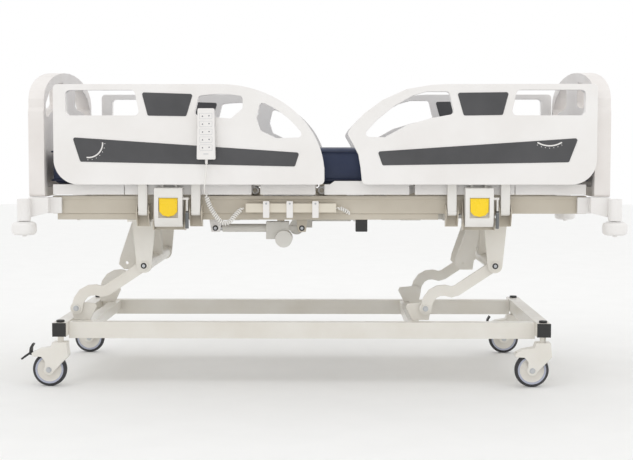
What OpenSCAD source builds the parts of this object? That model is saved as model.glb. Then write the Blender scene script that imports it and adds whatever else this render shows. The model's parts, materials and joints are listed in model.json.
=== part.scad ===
// Adjustable hospital bed: wheeled base, parallelogram lift, four-section lying
// surface, fold-down side rails and removable end boards.
// Head end towards -X, the operator's side towards -Y, floor at z = 0.

/* [Base] */
// Distance from the head castors to the foot castors
castor_pitch = 1760; // [1700:10:1820]
// Distance from the centre line to the castor stems
castor_y = 391; // [385:1:400]
// Castor wheel diameter
wheel_d = 125; // [120:1:125]
// Height of the base side tubes
base_tube_h = 60; // [50:1:62]

/* [Lift] */
// Height of the lower lift pivots above the floor
low_pivot_z = 275; // [270:1:285]
// Horizontal reach of a lift arm in the rest pose
arm_dx = 255; // [245:1:260]
// Rise of a lift arm in the rest pose
arm_dz = 160; // [150:1:170]
// Distance from the centre of the bed to the upper lift pivots
high_pivot_x = 649; // [640:1:660]

/* [Lying surface] */
// Height of the top of the platform panels
deck_z = 740; // [735:1:745]
// Distance from the centre line to the platform edge
deck_y = 440; // [430:1:440]
// Mattress thickness
mattress_t = 131; // [100:1:140]
// Distance from the centre of the bed to a mattress end
mattress_x = 970; // [955:5:975]
// Mattress width
mattress_w = 860; // [800:10:860]

/* [Side rails] */
// Thickness of a rail panel
rail_t = 38; // [30:1:40]
// Distance from the centre line to a rail's inner face
rail_y = 467; // [466:1:470]
// Distance between a rail link's two pivots
link_r = 150; // [145:1:152]

/* [End boards] */
// Distance from the centre of the bed to an end board's inner face
board_x = 980; // [975:1:985]
// Half width of an end board
board_y = 464; // [450:1:464]

/* [Hidden] */
$fn = 48;

steel = "Linen";
white = "WhiteSmoke";
fit = 0.05;        // radial running clearance of a pin in its bore
free = 0.6;        // clearance between parts that only pass each other
seam = 0.2;        // weld gap between butted tubes

// Base
head_castor_x = -945;
foot_castor_x = head_castor_x + castor_pitch;
cross_w = 50;                      // end cross tube, square
cross_z = 185;                     // underside of the end cross tubes
cross_end = castor_y + cross_w / 2;
side_tube_w = 40;
side_tube_y = 345;
side_tube_z = 232 - base_tube_h;
stem_r = 11;
trail = 40;                        // castor wheel centre behind its stem
wheel_r = wheel_d / 2;
axle_r = 6;
pedal_dx = 86;                     // brake pedal's pin behind the stem
pedal_z = 117;
pedal_pin_r = 2;
base_cross_x = [-860, 350];        // cross tubes that carry the lower pivots
bracket_y = 275;                   // inner face of a lower pivot plate
plate_t = 8;

// Lift
pin_r = 10;
arm_y = 285;
arm_t = 16;
arm_w = 40;
head_low_x = -high_pivot_x - arm_dx;
foot_low_x = high_pivot_x - arm_dx;
high_pivot_z = low_pivot_z + arm_dz;
crank_len = 170;
crank_y = 13;
crank_t = 8;
rod_r = 12;
tube_r = 16;
eye_r = 18;        // eye at the end of a lift actuator's rod

// Bed frame
beam_y = 380;                      // inner face of a longitudinal beam
beam_w = 40;
beam_z0 = 634;
beam_z1 = 698;
frame_x = 960;
leg_y = 304;                       // inner face of a leg bracket

// Lying surface: section limits and hinge places
hinge_z = 717;
back_x = -232;
thigh_x = 10;
calf_x = 330;
edge_turn = 10;    // from a rising section's edge to its hinge
edge_still = 22;   // from the hinge to the fixed seat's edge
knee_thigh = 6;    // thigh edge and calf edge, each from the knee hinge
knee_calf = 14;
deck_end = 955;
panel_t = 8;
lip_h = 37;
bump_h = 12;
hinge_r = 8;

// Side rails
rail_groups = [-535, 570];         // centre of the rail's linkage, head and foot
rail_z0 = 741;
rail_z1 = 1095;
link_y = 455;
arm_pivot_z = 640;
lever_pivot_z = 597;
arm_gap = 95;                      // from the linkage's centre to an arm's centre
rail_pin_r = 5;
release_y = 484;                   // pin of the yellow release handle
release_z = 687;
release_pin_r = 2.5;

// Handset and its cord
handset_x = -395;
cord_r = 2.5;
coil_r = 9;
tray_x0 = -262;
tray_x1 = 62;
// route of the plain lead: down from the handset, in under the rail panel
lead_route = [[-395, -522, 813.5], [-396, -522, 795], [-398, -522, 770], [-401, -520, 745],
  [-404, -512, 728], [-405, -498, 716], [-404, -484, 709], [-402, -474, 705]];
// route of the coiled stretch: sags below the rail and rises to the tray
coil_route = [[-402, -474, 705], [-392, -472, 672], [-372, -470, 634], [-350, -468, 608],
  [-336, -466, 602], [-320, -463, 606], [-302, -457, 627], [-285, -449, 645], [-270, -443, 656]];
// route of the coiled tail: out of the tray and in behind the side beam
tail_route = [[63, -443, 656], [80, -443, 653], [97, -440, 645], [107, -433, 637], [110, -426, 632]];

// ---------- shared shapes ----------

module box_at(x0, x1, y0, y1, z0, z1)
  translate([x0, y0, z0]) cube([x1 - x0, y1 - y0, z1 - z0]);

module both_sides() {
  children();
  mirror([0, 1, 0]) children();
}

// steel box section along X, open at its ends
module tube_x(x0, x1, y0, y1, z0, z1, wall = 2.5)
  difference() {
    box_at(x0, x1, y0, y1, z0, z1);
    box_at(x0 - 1, x1 + 1, y0 + wall, y1 - wall, z0 + wall, z1 - wall);
  }

// steel box section along Y, open at its ends
module tube_y(x0, x1, y0, y1, z0, z1, wall = 2.5)
  difference() {
    box_at(x0, x1, y0, y1, z0, z1);
    box_at(x0 + wall, x1 - wall, y0 - 1, y1 + 1, z0 + wall, z1 - wall);
  }

module rod_y(x, z, y0, y1, r)
  translate([x, y1, z]) rotate([90, 0, 0]) cylinder(h = y1 - y0, r = r);

module rod_x(y, z, x0, x1, r)
  translate([x0, y, z]) rotate([0, 90, 0]) cylinder(h = x1 - x0, r = r);

module rod_z(x, y, z0, z1, r)
  translate([x, y, z0]) cylinder(h = z1 - z0, r = r);

// a plate in the XZ plane, between y0 and y1
module plate_xz(y0, y1)
  translate([0, y1, 0]) rotate([90, 0, 0]) linear_extrude(y1 - y0) children();

// a plate in the YZ plane, between x0 and x1
module plate_yz(x0, x1)
  translate([x0, 0, 0]) rotate([90, 0, 90]) linear_extrude(x1 - x0) children();

// sideways direction of a path at point i, stretched so that a mitred bar keeps its width
function mitre(p, i) =
  let (a = i == 0 ? p[1] - p[0] : p[i] - p[i - 1],
       b = i == len(p) - 1 ? a : p[i + 1] - p[i],
       t = a / norm(a) + b / norm(b),
       m = [-t.y, t.x] / norm(t))
  m / (m * [-a.y, a.x] / norm(a));

// a flat bar with round ends along a list of centre-line points
module bar_path(points, w) {
  last = len(points) - 1;
  polygon(concat([for (i = [0 : last]) points[i] + mitre(points, i) * w / 2],
    [for (i = [last : -1 : 0]) points[i] - mitre(points, i) * w / 2]));
  for (p = [points[0], points[last]]) translate(p) circle(d = w + 2);
}

module rounded(r) offset(r) offset(-2 * r) offset(r) children();

// a round tube swept along a route, as one polyhedron
function unit(v) = v / norm(v);
function heading(route, i) =
  unit(route[min(i + 1, len(route) - 1)] - route[max(i - 1, 0)]);
// each span of a route is divided into equal steps
function refine(route, steps) = concat(
  [for (i = [0 : len(route) - 2], s = [0 : steps - 1])
    let (a = route[max(i - 1, 0)], b = route[i], c = route[i + 1],
         d = route[min(i + 2, len(route) - 1)], t = s / steps)
    0.5 * (2 * b + (c - a) * t + (2 * a - 5 * b + 4 * c - d) * t * t
      + (3 * b - a - 3 * c + d) * t * t * t)],
  [route[len(route) - 1]]);

// each ring keeps one axis square to Y, so neighbouring rings stay aligned
function level_side(t) = let (s = cross(t, [0, 1, 0])) unit(s);
function level_ring(route, i, r, n) =
  let (t = heading(route, i), u = level_side(t), v = cross(t, u))
  [for (k = [0 : n - 1]) route[i] + r * (cos(360 * k / n) * u + sin(360 * k / n) * v)];

module swept_tube(route, r, n) {
  m = len(route);
  points = [for (i = [0 : m - 1]) each level_ring(route, i, r, n)];
  sides = [for (i = [0 : m - 2], k = [0 : n - 1])
    let (a = i * n + k, b = i * n + (k + 1) % n)
    each [[a, b, b + n], [a, b + n, a + n]]];
  first = [for (k = [n - 1 : -1 : 0]) k];
  last = [for (k = [0 : n - 1]) (m - 1) * n + k];
  polyhedron(points, concat([first, last], sides));
}

// ---------- base ----------

module base_frame() color(steel) {
  for (x = [head_castor_x, foot_castor_x])
    difference() {
      tube_y(x - cross_w / 2, x + cross_w / 2, -cross_end, cross_end, cross_z, cross_z + cross_w);
      for (s = [-1, 1]) rod_z(x, s * castor_y, cross_z - 1, cross_z + cross_w + 1, stem_r + fit);
    }
  both_sides() tube_x(head_castor_x + cross_w / 2 + seam, foot_castor_x - cross_w / 2 - seam,
    side_tube_y - side_tube_w / 2, side_tube_y + side_tube_w / 2, side_tube_z, side_tube_z + base_tube_h);
  for (x = base_cross_x)
    tube_y(x - 20, x + 20, -side_tube_y + side_tube_w / 2 + seam,
      side_tube_y - side_tube_w / 2 - seam, 190, 230);
}

module base_caps() color("DimGray")
  for (x = [head_castor_x, foot_castor_x]) both_sides() {
    box_at(x - cross_w / 2, x + cross_w / 2, cross_end, cross_end + 4, cross_z, cross_z + cross_w);
    difference() {
      rod_z(x, castor_y, cross_z + cross_w, cross_z + cross_w + 8, 15);
      rod_z(x, castor_y, cross_z + cross_w - 1, cross_z + cross_w + 5, stem_r + free);
    }
  }

// outline of a lower pivot plate, relative to the pivot
module low_plate_2d() {
  circle(22);
  polygon([[-14, -16], [22, 0], [14, -45], [-48, -45], [-72, 4], [-66, 16], [0, 22]]);
}

module base_pivots() color(steel) {
  for (i = [0, 1]) {
    x = [head_low_x, foot_low_x][i];
    both_sides() {
      translate([x, 0, low_pivot_z]) plate_xz(bracket_y, bracket_y + plate_t)
        if (i == 1) low_plate_2d(); else mirror([1, 0]) low_plate_2d();
      rod_y(x, low_pivot_z, bracket_y, arm_y + arm_t + 6, pin_r);
      rod_y(x, low_pivot_z, arm_y + arm_t + free, arm_y + arm_t + 6, 15);
    }
  }
}

// ---------- castors ----------

// side outline of the fork, relative to the stem axis
module fork_2d() {
  polygon([[-27, 164], [27, 164], [27, 150], [31, 112], [-11, 68], [-34, 46], [-46, 46],
    [-58, 58], [-55, 76], [-55, 94], [-68, 110], [-101, 112], [-103, 124], [-75, 139], [-33, 146]]);
  translate([-trail, wheel_r]) circle(19);
}

module castor_fork(x, s, braked = false) color(steel) {
  difference() {
    translate([x, s * castor_y, 0]) plate_xz(-24, 24) fork_2d();
    rod_y(x - trail, wheel_r, s * castor_y - 17, s * castor_y + 17, wheel_r + 5);
    box_at(x - 110, x - 56, s * castor_y - 17, s * castor_y + 17, 100, 128);
  }
  rod_z(x, s * castor_y, 160, cross_z + cross_w + 4, stem_r);
  rod_y(x - trail, wheel_r, s * castor_y - 24, s * castor_y + 24, axle_r);
  if (braked) rod_y(x - pedal_dx, pedal_z, s * castor_y - 24, s * castor_y + 24, pedal_pin_r);
}

module castor_wheel(x, s) color("DimGray")
  translate([x - trail, s * castor_y, wheel_r]) rotate([90, 0, 0]) rotate_extrude()
    polygon([[axle_r + fit, -15.5], [16, -15.5], [18, -12], [40, -10], [45, -13], [54, -14], [60, -10],
      [62.5, -4], [62.5, 4], [60, 10], [54, 14], [45, 13], [40, 10], [18, 12], [16, 15.5],
      [axle_r + fit, 15.5]]);

// side outline of the pedal, relative to its pin
module pedal_2d()
  polygon([[4, -4], [4, 5], [-19, 7], [-18, 24], [-10, 37], [-16, 41], [-25, 26], [-28, 8],
    [-37, 2], [-58, -14], [-55, -20], [-33, -5], [-26, 0], [-4, -4]]);

module brake_pedal(x, s) color("DimGray")
  difference() {
    translate([x - pedal_dx, s * castor_y, pedal_z]) plate_xz(-14, 14) pedal_2d();
    rod_y(x - pedal_dx, pedal_z, s * castor_y - 15, s * castor_y + 15, pedal_pin_r + fit);
  }

// ---------- lift ----------

// centre line of the goose-necked arm, from its lower to its upper pivot
arm_line = [[0, 0], [10, 32], [26, 54], [48, 66], [72, 68], [96, 62], [116, 68], [arm_dx, arm_dz]];

module lift_arms(x) color(steel) {
  both_sides() difference() {
    translate([x, 0, low_pivot_z]) plate_xz(arm_y, arm_y + arm_t) {
      bar_path(arm_line, arm_w);
      circle(d = arm_w + 6);
      translate([arm_dx, arm_dz]) circle(28);
    }
    rod_y(x, low_pivot_z, arm_y - 1, arm_y + arm_t + 1, pin_r + fit);
    rod_y(x + arm_dx, high_pivot_z, arm_y - 1, arm_y + arm_t + 1, pin_r + fit);
  }
  // torsion tube between the two arms, with the crank that the actuator pushes
  difference() {
    rod_y(x + arm_dx, high_pivot_z, -arm_y - 4, arm_y + 4, 24);
    rod_y(x + arm_dx, high_pivot_z, -arm_y - 5, arm_y + 5, 20);
  }
  both_sides() translate([x + arm_dx, 0, high_pivot_z]) plate_xz(crank_y, crank_y + crank_t) difference() {
    polygon([[-30, 18], [30, 18], [16, crank_len + 12], [-16, crank_len + 12]]);
    translate([0, crank_len]) circle(pin_r);
  }
}

// Linear actuators of the lift: a tube with a gearbox at its end and a motor beside it,
// hung under the frame. dir is the way from the crank to the gearbox along X.
module lift_actuator(x, dir) color("LightGray")
  translate([x, 0, 0]) mirror([dir < 0 ? 1 : 0, 0, 0]) {
    z = high_pivot_z + crank_len;
    difference() {
      union() {
        rod_x(0, z, 150, 335, tube_r);
        box_at(330, 410, -34, 34, z - 16, z + 34);
        rod_x(42, z, 252, 331, 22);
        // clamp round the tube, on two hanger plates below the frame's cross tube
        box_at(151, 169, -34, 34, z - 18, z + 24);
        both_sides() box_at(151, 169, 26, 34, z + 20, beam_z0 + 6 - seam);
      }
      rod_x(0, z, 149, 405, rod_r + free);
    }
  }

module lift_rod(x, dir) color("Silver")
  translate([x, 0, 0]) mirror([dir < 0 ? 1 : 0, 0, 0]) {
    z = high_pivot_z + crank_len;
    difference() {
      union() {
        rod_x(0, z, 8, 279, rod_r);
        rod_y(0, z, -crank_y + free, crank_y - free, eye_r);
      }
      rod_y(0, z, -crank_y, crank_y, pin_r);
    }
  }

// Backrest and knee actuators: rear eye at (x, z), rod towards dir along X,
// motor with its round end cap facing outwards
actuator_len = 317;
actuator_z = 577;
back_eye_x = -63;
knee_eye_x = -167;
section_actuator_y = 332;

module section_actuator(x, dir) color("LightGray")
  translate([x, 0, actuator_z]) mirror([dir > 0 ? 1 : 0, 0, 0]) difference() {
    union() {
      rod_x(0, 0, -292, -60, 15);
      box_at(-131, -48, -26, 26, -40, 24);
      rod_y(0, 0, -9, 9, 14);
      box_at(-50, 0, -9, 9, -8, 8);
      rod_y(-66, -38, -48, 25, 31);
    }
    rod_x(0, 0, -293, -70, 10 + free);
    rod_y(0, 0, -10, 10, 8 + fit);
  }

module section_rod(x, dir) color("Silver")
  translate([x, 0, actuator_z]) mirror([dir > 0 ? 1 : 0, 0, 0]) {
    rod_x(0, 0, -305, -170, 10);
    difference() {
      rod_y(-actuator_len, 0, -8, 8, 15);
      rod_y(-actuator_len, 0, -9, 9, 8);
    }
  }

module at_near() translate([0, -section_actuator_y, 0]) children();
module at_far() translate([0, section_actuator_y, 0]) mirror([0, 1, 0]) children();

// ---------- bed frame ----------

frame_cross = [-930, -489, -30, 250, 489, 930];

module bed_frame() color(steel) {
  both_sides() {
    tube_x(-frame_x, frame_x, beam_y, beam_y + beam_w, beam_z0, beam_z1);
    // lower strip under each beam, from the head end to the foot linkage
    tube_x(-945, 430, beam_y + 2, beam_y + beam_w - 4, beam_z0 - 22, beam_z0 - seam);
    // flange along the beam's upper edge
    box_at(-frame_x, frame_x, beam_y + beam_w, beam_y + beam_w + 3, beam_z1 - 13, beam_z1);
    // hinge lugs of the backrest and the thigh section
    for (x = [back_x, thigh_x]) {
      plate_xz(352, 360) translate([x, hinge_z]) {
        circle(16);
        translate([-16, -27]) square([32, 27]);
      }
      rod_y(x, hinge_z, 350, 390, hinge_r);
      box_at(x - 16, x + 16, 352, beam_y - seam, hinge_z - 27, hinge_z - 19);
    }
  }
  for (x = frame_cross)
    tube_y(x - 15, x + 15, -beam_y + seam, beam_y - seam, beam_z0 + 6, beam_z0 + 46);
  // rear brackets of the backrest and knee actuators
  for (p = [[back_eye_x, -1], [knee_eye_x, 1]]) {
    y = p[1] * section_actuator_y;
    for (s = [-1, 1]) plate_xz(y + s * 16 - 4, y + s * 16 + 4)
      polygon([[p[0] - 24, beam_z0 + 6], [p[0] + 24, beam_z0 + 6], [p[0] + 14, 563], [p[0] - 14, 563]]);
    rod_y(p[0], actuator_z, y - 20, y + 20, 8);
    y1 = p[1] * (beam_y - seam);
    y0 = p[1] * 312;
    box_at(p[0] - 24, p[0] + 24, min(y0, y1), max(y0, y1), beam_z0 + 6, beam_z0 + 14);
  }
}

// outline of the hanging leg bracket, relative to the upper pivot
module leg_2d() {
  circle(27);
  polygon([[-27, -2], [27, -2], [44, 177], [-44, 177]]);
}

// outline of the leaning hanger plate, relative to the upper pivot
module hanger_2d() difference() {
  polygon([[-62, 190], [-20, 190], [-52, 20], [-60, -34], [-108, -34], [-128, -14], [-124, 10]]);
  translate([-97, -9]) circle(6);
}

module leg_brackets() color(steel) {
  for (x = [-high_pivot_x, high_pivot_x]) both_sides() {
    translate([x, 0, high_pivot_z]) plate_xz(leg_y, leg_y + plate_t) leg_2d();
    box_at(x - 44, x + 44, leg_y, beam_y + beam_w - 4, high_pivot_z + 169, high_pivot_z + 177 - seam);
    rod_y(x, high_pivot_z, arm_y + 1, leg_y + plate_t + 7, pin_r);
    rod_y(x, high_pivot_z, leg_y + plate_t, leg_y + plate_t + 7, 15);
    translate([x, 0, high_pivot_z]) plate_xz(90, 98) hanger_2d();
    // cross channel that the leg and hanger plates hang from
    box_at(x - 66, x + 20, -beam_y + seam, beam_y - seam, high_pivot_z + 190, beam_z0 + 6);
  }
}

// U-shaped brackets of one rail linkage, for the near side
module rail_bracket_group(x) {
  for (a = [-arm_gap, arm_gap], s = [-1, 1])
    plate_yz(x + a + s * 21 - 1.5, x + a + s * 21 + 1.5)
      polygon([[423, 590], [423, 668], [447, 668], [471, 650], [471, 626], [450, 590]]);
  for (a = [-arm_gap, arm_gap]) {
    box_at(x + a - 22.5, x + a + 22.5, 421, 424, 588, 684);
    rod_x(link_y, arm_pivot_z, x + a - 26, x + a + 26, rail_pin_r);
  }
  for (s = [-1, 1])
    plate_yz(x + s * 56 - 1.5, x + s * 56 + 1.5)
      polygon([[423, 576], [423, 680], [440, 680], [470, 606], [470, 584], [462, 576]]);
  box_at(x - 57.5, x + 57.5, 421, 424, 576, 684);
  rod_x(link_y, lever_pivot_z, x - 60, x + 60, rail_pin_r);
}

module rail_brackets() color(steel)
  for (x = rail_groups) both_sides() rail_bracket_group(x);

// ---------- corner posts, rollers and end boards ----------

post_x = 1048;
post_y = 494;

module corner_posts() color(white)
  for (sx = [-1, 1]) both_sides() {
    // sleeve with a lifting-pole socket in it
    difference() {
      rod_z(sx * post_x, post_y, 612, 690, 24);
      rod_z(sx * post_x, post_y, 640, 691, 16);
    }
    rod_z(sx * post_x, post_y, 556, 613, 8);
    // arm back to the side beam
    plate_xz(440, 478) polygon([[sx * 965, 640], [sx * 965, 694], [sx * (post_x - 12), 694],
      [sx * (post_x - 12), 622]]);
    box_at(min(sx * 925, sx * 975), max(sx * 925, sx * 975), 423.2, 440, 636, 694);
  }

module corner_roller(sx, sy) color(white)
  difference() {
    translate([sx * post_x, sy * post_y, 562]) rotate_extrude()
      polygon([[0, 0], [34, 0], [42, 6], [44, 16], [44, 34], [40, 42], [28, 48], [0, 48]]);
    rod_z(sx * post_x, sy * post_y, 561, 611, 8 + fit);
  }

// end board outline and its two hand holes, in the YZ plane
crown_z = 1158;
module board_outline() {
  polygon(concat(
    [[-board_y, 696], [board_y, 696], [board_y, 1000], [board_y - 8, 1015], [board_y - 8, 1046]],
    [for (i = [0 : 12]) let (a = 15 + i * 12.5) [(board_y - 10) * cos(a), 1046 + (crown_z - 1046) * sin(a)]],
    [[-board_y + 8, 1046], [-board_y + 8, 1015], [-board_y, 1000]]));
}

module hand_hole(s)
  polygon([[s * 118, 1118], [s * 250, 1106], [s * 360, 1074], [s * 425, 1030], [s * 428, 985],
    [s * 380, 985], [s * 300, 1012], [s * 150, 1022], [s * 106, 1034]]);

module end_board(s) color(white) {
  x0 = min(s * board_x, s * (board_x + 56));
  x1 = max(s * board_x, s * (board_x + 56));
  difference() {
    plate_yz(x0, x1) difference() {
      rounded(12) board_outline();
      rounded(12) hand_hole(1);
      rounded(12) hand_hole(-1);
    }
    // shallow panels recessed into both faces
    for (f = [x0 - 1, x1 - 11])
      plate_yz(f, f + 12) rounded(30) polygon([[-425, 730], [425, 730], [425, 930], [300, 985], [-300, 985],
        [-425, 930]]);
  }
}

// ---------- lying surface ----------

// side lip of a panel: a low wall with one raised trapezoid
module lip_2d(x0, x1, b0, b1)
  polygon([[x0, deck_z - lip_h], [x1, deck_z - lip_h], [x1, deck_z], [b1, deck_z],
    [b1 - 16, deck_z + bump_h], [b0 + 16, deck_z + bump_h], [b0, deck_z], [x0, deck_z]]);

module panel(x0, x1, bumps) {
  difference() {
    box_at(x0, x1, -deck_y + 3, deck_y - 3, deck_z - panel_t, deck_z);
    // rows of ventilation slots
    for (x = [x0 + 60 : 80 : x1 - 60], y = [-250, 0, 250])
      box_at(x - 8, x + 8, y - 70, y + 70, deck_z - panel_t - 1, deck_z + 1);
  }
  both_sides() for (b = bumps)
    plate_xz(deck_y - 8, deck_y) lip_2d(max(x0, b[2]), min(x1, b[3]), b[0], b[1]);
}

// steel subframe of a section: side tubes, cross tubes and hinge eyes
module subframe(x0, x1, crosses, eyes)
  difference() {
    union() {
      both_sides() tube_x(x0, x1, 364, 388, deck_z - panel_t - 24, deck_z - panel_t, 2);
      for (x = crosses) tube_y(x - 12, x + 12, -364, 364, deck_z - panel_t - 24, deck_z - panel_t, 2);
      both_sides() for (x = eyes) rod_y(x, hinge_z, 364, 388, 14);
    }
    both_sides() for (x = eyes) rod_y(x, hinge_z, 363, 389, hinge_r + fit);
  }

// crank plates under a section, which its actuator pushes
module section_crank(hx, dx, y)
  for (s = [-1, 1]) plate_xz(y + s * 14 - 4, y + s * 14 + 4)
    difference() {
      polygon([[hx + dx * 0.62, deck_z - panel_t - 20], [hx + dx * 1.25, deck_z - panel_t - 20],
        [hx + dx * 1.1, actuator_z - 14], [hx + dx * 0.9, actuator_z - 14]]);
      translate([hx + dx, actuator_z]) circle(8);
    }

module back_panel() color(white) {
  edge = back_x - edge_turn;
  panel(-deck_end, edge, [[-880, -800, -deck_end, -700], [-520, -300, -697, edge]]);
  subframe(-930, back_x, [-910, -600, -380], [back_x]);
  section_crank(back_x, -148, -section_actuator_y);
}

module seat_panel() color(white) {
  edges = [back_x + edge_still, thigh_x - edge_still];
  panel(edges[0], edges[1], [[-190, -40, edges[0], edges[1]]]);
  both_sides() box_at(back_x + 30, thigh_x - 30, 384, 416, beam_z1, deck_z - panel_t);
}

module thigh_panel() color(white) {
  edges = [thigh_x + edge_turn, calf_x - knee_thigh];
  panel(edges[0], edges[1], [[40, 190, edges[0], edges[1]]]);
  subframe(thigh_x, calf_x - 24, [140, 270], [thigh_x]);
  section_crank(thigh_x, 140, section_actuator_y);
  // ears and pins of the knee hinge
  both_sides() {
    plate_xz(352, 360) translate([calf_x, hinge_z]) {
      circle(14);
      translate([-60, -9]) square([60, 18]);
    }
    box_at(calf_x - 60, calf_x - 26, 352, 366, hinge_z - 9, hinge_z + 9);
    rod_y(calf_x, hinge_z, 350, 390, hinge_r);
  }
}

module calf_panel() color(white) {
  edge = calf_x + knee_calf;
  panel(edge, deck_end, [[420, 560, edge, 700], [780, 880, 703, deck_end]]);
  subframe(calf_x, 930, [420, 660, 910], [calf_x]);
}

module mattress_block(x0, x1) color("MidnightBlue")
  box_at(x0 + 0.5, x1 - 0.5, -mattress_w / 2, mattress_w / 2, deck_z + 0.5, deck_z + mattress_t);

// ---------- side rails ----------

// outline of the head-end rail, with its quarter-ellipse foot side
module head_rail_2d() difference() {
  intersection() {
    rounded(16) union() {
      translate([-938, rail_z0]) square([590, rail_z1 - rail_z0]);
      intersection() {
        translate([-348, 780]) scale([1, 315 / 368]) circle(368, $fn = 96);
        translate([-400, 780]) square([440, 400]);
      }
      translate([-400, rail_z0]) square([420, 60]);
    }
    // large radius at the lower outer corner
    union() {
      translate([-850, rail_z0]) square([900, 400]);
      translate([-960, 829]) square([200, 300]);
      translate([-850, 829]) circle(88);
    }
  }
  rounded(16) polygon([[-894, 1074], [-650, 1074], [-632, 985], [-894, 985]]);
  rounded(12) intersection() {
    inner_ellipse();
    polygon([[-412, 1100], [-268, 1100], [-268, 1010], [-310, 974], [-440, 985]]);
  }
  rounded(12) intersection() {
    inner_ellipse();
    polygon([[-190, 1100], [-60, 1100], [-60, 908], [-150, 905], [-206, 932], [-220, 975]]);
  }
}

module inner_ellipse() translate([-348, 780]) scale([1, 280 / 334]) circle(334, $fn = 96);

// outline of the foot-end rail
module foot_rail_2d() difference() {
  intersection() {
    rounded(16) polygon(concat(
      [[154, rail_z0], [980, rail_z0], [980, rail_z1], [450, rail_z1]],
      foot_shoulder, [[100, 920], [120, 886], [140, 847], [148, 800]]));
    union() {
      translate([50, rail_z0]) square([842, 400]);
      translate([800, 829]) square([200, 300]);
      translate([892, 829]) circle(88);
    }
  }
  rounded(16) polygon([[697, 1074], [937, 1074], [937, 985], [677, 985]]);
  rounded(12) polygon([[380, 1068], [458, 1068], [477, 990], [394, 975], [309, 950], [233, 908], [152, 910],
    [205, 968], [267, 1018], [330, 1054]]);
}

// shoulder of the foot rail, from its top edge down to its nose
foot_shoulder = [[394, 1092], [309, 1077], [224, 1039], [160, 992], [116, 945]];

// one rail panel for the near side; g is 0 at the head and 1 at the foot
module rail_panel(g) {
  x = rail_groups[g];
  color(white) plate_xz(rail_y, rail_y + rail_t)
    if (g == 0) head_rail_2d(); else foot_rail_2d();
  color(white) for (a = [-arm_gap, arm_gap], s = [-1, 1])
    plate_yz(x + a + s * 22 - 4, x + a + s * 22 + 4)
      polygon([[rail_y + 2, 770], [rail_y + 2, 812], [447, 800], [447, 782]]);
  for (a = [-arm_gap, arm_gap])
    color("Silver") rod_x(link_y, arm_pivot_z + link_r, x + a - 24, x + a + 24, rail_pin_r);
  color(white) for (s = [-1, 1])
    plate_yz(x + s * 34 - 4, x + s * 34 + 4)
      polygon([[rail_y + 2, 738], [rail_y + 2, 756], [447, 756], [447, 738]]);
  color("Silver") rod_x(link_y, lever_pivot_z + link_r, x - 36, x + 36, rail_pin_r);
}

// the two curved arms of a rail
module rail_arms(x) color(white)
  for (a = [-arm_gap, arm_gap]) difference() {
    union() {
      rod_x(link_y, arm_pivot_z, x + a - 16.5, x + a + 16.5, 11);
      rod_x(link_y, arm_pivot_z + link_r, x + a - 16.5, x + a + 16.5, 9.5);
      plate_xz(link_y - 8, link_y + 9) polygon([[x + a - 16.5, arm_pivot_z], [x + a + 16.5, arm_pivot_z],
        [x + a + 16.5, arm_pivot_z + link_r], [x + a - 16.5, arm_pivot_z + link_r]]);
    }
    rod_x(link_y, arm_pivot_z, x + a - 18, x + a + 18, rail_pin_r + fit);
    rod_x(link_y, arm_pivot_z + link_r, x + a - 18, x + a + 18, rail_pin_r + fit);
  }

// side outline of the lever housing, in the YZ plane
module lever_2d() {
  polygon([[447, 590], [478, 590], [488, 604], [494, 640], [494, 690], [490, 728], [447, 728]]);
  polygon([[446, 720], [464, 720], [464, lever_pivot_z + link_r], [446, lever_pivot_z + link_r]]);
  translate([link_y, lever_pivot_z + link_r]) circle(10);
}

module rail_lever(x) {
  color(white) difference() {
    plate_yz(x - 50, x + 50) lever_2d();
    // only two ears reach up to the rail's pin
    for (r = [[-51, -29.4], [29.4, 51]])
      box_at(x + r[0], x + r[1], 440, 500, 730, 760);
    box_at(x - 20, x + 20, 440, 500, 730, 760);
    rod_x(link_y, lever_pivot_z, x - 51, x + 51, rail_pin_r + fit);
    rod_x(link_y, lever_pivot_z + link_r, x - 51, x + 51, rail_pin_r + fit);
    // window of the release handle
    box_at(x - 35, x + 35, 476, 500, 622, 694);
  }
  color("Silver") rod_x(release_y, release_z, x - 36, x + 36, release_pin_r);
  // gas spring beside the lever
  color("Silver") {
    rod_z(x + 65, 475, 584, 640, 6);
    rod_z(x + 65, 475, 639, 690, 3.5);
    rod_x(475, 690, x + 49, x + 71, 4.5);
  }
}

module rail_release(x) color("Gold")
  difference() {
    plate_xz(480, 488)
      polygon([[x - 33, 692], [x + 33, 692], [x + 32, 644], [x + 20, 631], [x, 626], [x - 20, 631],
        [x - 32, 644]]);
    box_at(x - 24, x + 24, 479, 482, 640, 676);
    rod_x(release_y, release_z, x - 34, x + 34, release_pin_r + fit);
  }

// ---------- handset and cable tray ----------

module handset() color(white) {
  plate_xz(-538, -511) rounded(5) polygon([[-428, 830], [-362, 830], [-366, 1009], [-424, 1009]]);
  // hook over the upper edge of the rail's window
  box_at(handset_x - 9, handset_x + 9, -511.4, -505.6, 975, 1004);
  rod_z(handset_x, -522, 814, 831, 5);
}

module cable_tray() color("Linen") {
  difference() {
    box_at(tray_x0, tray_x1, -456, -424, 640, 672);
    box_at(tray_x0 - 1, tray_x1 + 1, -453, -431, 634, 669);
  }
  for (x = [-188, -104, -12]) {
    box_at(x - 11, x + 11, -462, -456, 622, 680);
    box_at(x - 11, x + 11, -457, -421, 672, 680);
    box_at(x - 11, x + 11, -424, -421, 650, 676);
  }
}

module handset_cord() color(white) {
  swept_tube(refine(lead_route, 2), cord_r, 8);
  swept_tube(refine(coil_route, 3), coil_r, 10);
}

module cord_tail() color(white) swept_tube(refine(tail_route, 3), coil_r - 1, 10);

module near() mirror([0, 1, 0]) children();

// ---------- assembly ----------

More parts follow.
